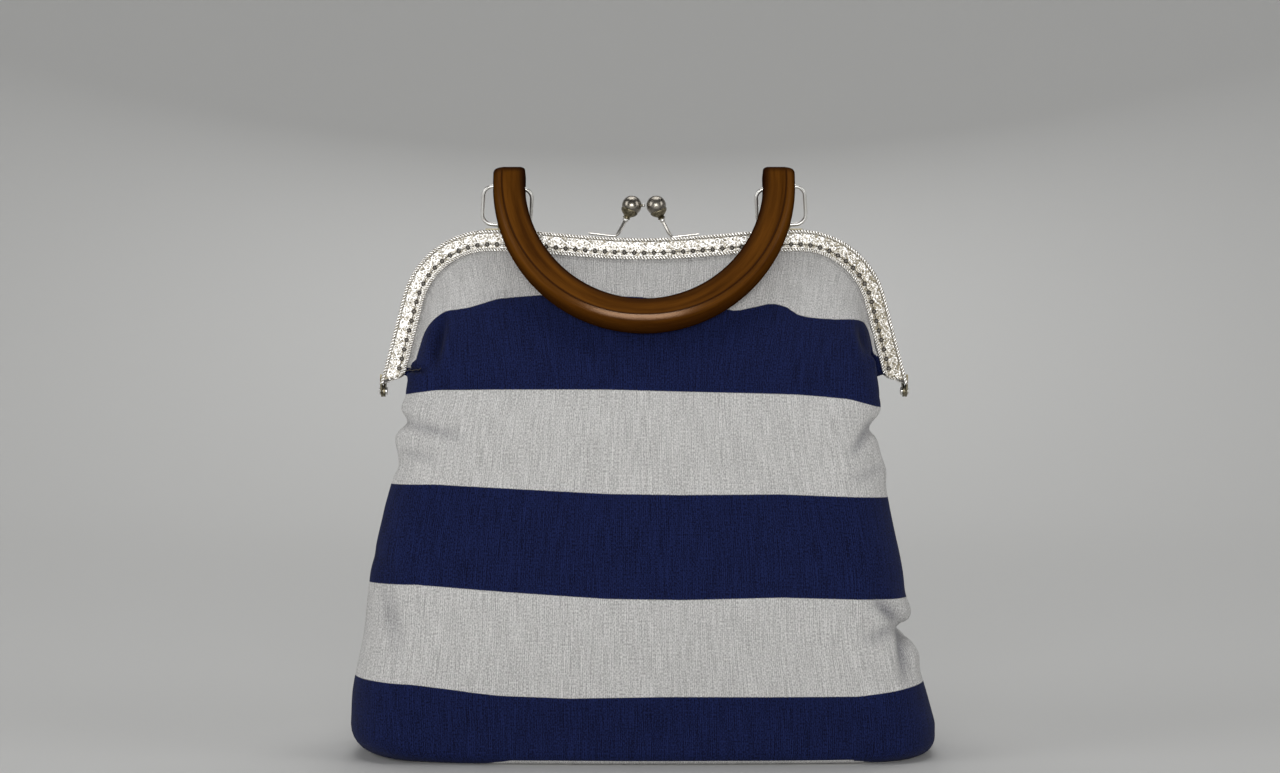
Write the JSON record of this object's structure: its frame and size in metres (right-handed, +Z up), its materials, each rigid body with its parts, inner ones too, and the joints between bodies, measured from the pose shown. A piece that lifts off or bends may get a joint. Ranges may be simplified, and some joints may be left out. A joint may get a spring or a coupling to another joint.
{
  "type": "frame handbag",
  "caption": "Soft striped cloth handbag sewn into a hinged metal purse frame with a ball kiss-lock clasp and a U-shaped wooden handle on wire rings",
  "frame": {"origin": "middle of the flat underside of the bag, on the surface that it stands on", "axes": "+X to the right seen from the front, -Y out of the front, +Z up"},
  "size_m": [0.2875, 0.108, 0.2902],
  "materials": {
    "cloth": "plain woven linen-cotton in wide navy and off-white stripes",
    "nickel": "nickel plated, embossed and slightly tarnished in the hollows",
    "wood": "stained dark brown and varnished"
  },
  "bodies": {
    "bag": {"bag_shell": "cloth", "frame_front": "nickel", "frame_back": "nickel", "clasp_front": "nickel", "clasp_back": "nickel", "hinge_rivet_left": "nickel", "hinge_rivet_right": "nickel"},
    "rings": {"ring_left": "nickel", "ring_right": "nickel"},
    "handle": {"handle": "wood"}
  },
  "joints": [
    {"name": "ring_swing", "type": "hinge", "parent": "bag", "child": "rings", "pos_m": [0, -0.0029, 0.26128], "axis": [-1, 0, 0], "range_deg": [0, 50]},
    {"name": "handle_swing", "type": "hinge", "parent": "rings", "child": "handle", "pos_m": [0, -0.00955, 0.27955], "axis": [-1, 0, 0], "range_deg": [0, 200]}
  ]
}
